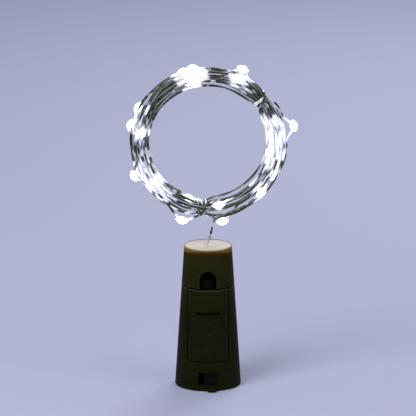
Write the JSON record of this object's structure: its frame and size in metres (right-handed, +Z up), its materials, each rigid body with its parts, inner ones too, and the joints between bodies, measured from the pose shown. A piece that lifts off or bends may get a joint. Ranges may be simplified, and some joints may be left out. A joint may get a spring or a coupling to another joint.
{
  "type": "cork bottle light",
  "caption": "Tapered cork battery plug with a slide switch, a side battery door and a fine wire light string wound in a hoop standing on its own lead.",
  "frame": {"origin": "centre of the flat face at the wide end, on which the cork stands", "axes": "+Z up along the cork towards the narrow end and the hoop; the battery door and the switch face -Y"},
  "size_m": [0.0624, 0.0254, 0.1204],
  "materials": {
    "cork_plastic": "moulded ABS coloured like cork, dark olive tan, dull, with fine darker flecks",
    "cream_plastic": "moulded cream ABS, slightly translucent",
    "glue": "set drop of hot-melt glue",
    "dark_plastic": "moulded dark brown-black ABS",
    "cell_steel": "bright nickel-plated steel",
    "spring_steel": "nickel-plated spring wire",
    "contact_steel": "stamped nickel-plated steel strip",
    "contact_brass": "tinned and bare brass",
    "board": "green solder-masked board",
    "phenolic": "brown phenolic sheet",
    "resistor_body": "tan lacquered film resistor",
    "button_plastic": "moulded black-brown ABS",
    "red_insulation": "red PVC insulation",
    "black_insulation": "black PVC insulation",
    "silver_wire": "bright silver enamelled copper wire, two strands side by side",
    "clear_resin": "clear cast resin, lit from inside",
    "lit_chip": "cool white light chip, lit"
  },
  "bodies": {
    "cork": {"body_shell": "cork_plastic", "base_cap": "cork_plastic", "nose_shell": "cork_plastic", "top_disc": "cream_plastic", "wire_seal": "glue", "battery_cradle": "dark_plastic", "button_cell_1": "cell_steel", "button_cell_2": "cell_steel", "button_cell_3": "cell_steel", "cell_spring": "spring_steel", "spring_plate": "contact_steel", "positive_contact": "contact_steel", "circuit_board": "board", "board_clips": "cork_plastic", "resistor": "resistor_body", "switch_case": "contact_steel", "switch_base": "phenolic", "switch_pins": "contact_brass", "positive_wire": "red_insulation", "negative_wire": "black_insulation", "string_tail": "silver_wire", "lead_wire": "silver_wire", "wire_coil": "silver_wire", "coil_ties": "silver_wire", "light_drops": "clear_resin", "light_chips": "lit_chip"},
    "door": {"battery_door": "cork_plastic"},
    "button": {"switch_button": "button_plastic", "switch_lever": "button_plastic", "switch_wiper": "contact_brass"}
  },
  "joints": [
    {"name": "door_lift", "type": "slide", "parent": "cork", "child": "door", "axis": [0, -1, 0], "range_m": [0, 0.015]},
    {"name": "switch_slide", "type": "slide", "parent": "cork", "child": "button", "axis": [-1, 0, 0], "range_m": [0, 0.0021]}
  ]
}
